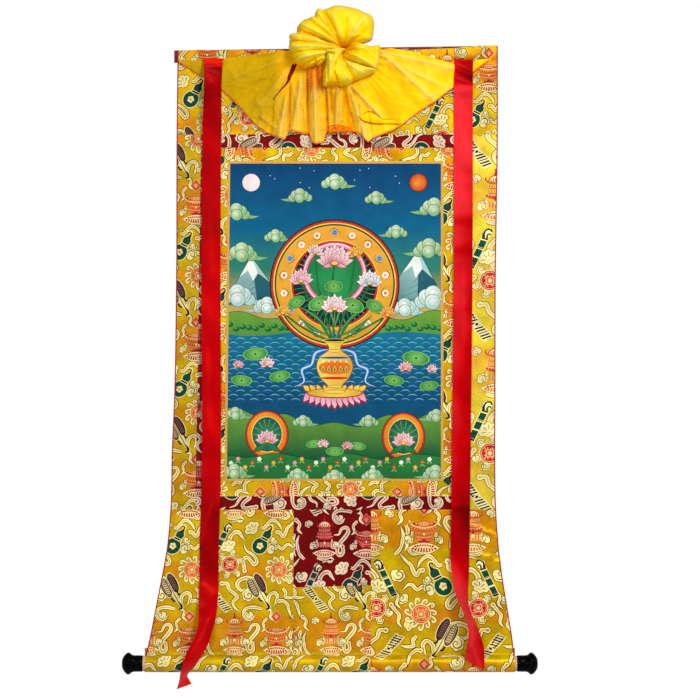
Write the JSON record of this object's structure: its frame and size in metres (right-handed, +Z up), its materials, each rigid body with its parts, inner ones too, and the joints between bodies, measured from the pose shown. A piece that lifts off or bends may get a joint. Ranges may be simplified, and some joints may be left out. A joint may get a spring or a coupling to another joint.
{
  "type": "thangka scroll painting with a head slat and a foot rod",
  "caption": "Hanging scroll: a picture on cloth in a gold and maroon brocade mount, with a gathered silk veil, red ribbons, a head slat and a knobbed foot rod.",
  "frame": {"origin": "middle of the top edge of the heading, where the hanging is held", "axes": "+Z up the hanging, +Y out of its back towards the wall, so the front faces -Y; +X to the right seen from the front"},
  "size_m": [0.7857, 0.0877, 1.2944],
  "materials": {
    "picture_cloth": "printed canvas, matt, slightly coarse",
    "fillet_cloth": "tan gold satin strip",
    "gold_brocade": "woven silk brocade, golden yellow ground with cream clouds, soft sheen",
    "maroon_brocade": "woven silk brocade, deep maroon ground with cream clouds, soft sheen",
    "sleeve_cloth": "plain maroon cotton",
    "binding_cloth": "narrow red edging",
    "wood": "bare pale wood",
    "black_lacquer": "turned wood, black lacquer, satin",
    "yellow_silk": "thin bright yellow silk with an orange stitched hem",
    "tie_cloth": "plain maroon cloth",
    "red_satin": "red satin ribbon"
  },
  "bodies": {
    "root": {"picture": "picture_cloth", "fillet_top": "fillet_cloth", "fillet_foot": "fillet_cloth", "fillet_left": "fillet_cloth", "fillet_right": "fillet_cloth", "inner_border_top": "gold_brocade", "inner_border_foot": "gold_brocade", "inner_border_left": "gold_brocade", "inner_border_right": "gold_brocade", "panel_head": "gold_brocade", "panel_left": "gold_brocade", "panel_right": "gold_brocade", "panel_foot_left": "gold_brocade", "panel_foot_middle": "gold_brocade", "panel_foot_right": "gold_brocade", "maroon_frame_top": "maroon_brocade", "maroon_frame_foot": "maroon_brocade", "maroon_frame_left": "maroon_brocade", "maroon_frame_right": "maroon_brocade", "door_panel": "maroon_brocade", "head_sleeve": "sleeve_cloth", "binding_left": "binding_cloth", "binding_right": "binding_cloth", "head_slat": "wood", "foot_rod": "wood", "knob_left": "black_lacquer", "knob_right": "black_lacquer", "veil": "yellow_silk", "veil_tie": "tie_cloth", "ribbon_left": "red_satin", "ribbon_right": "red_satin"}
  },
  "joints": []
}
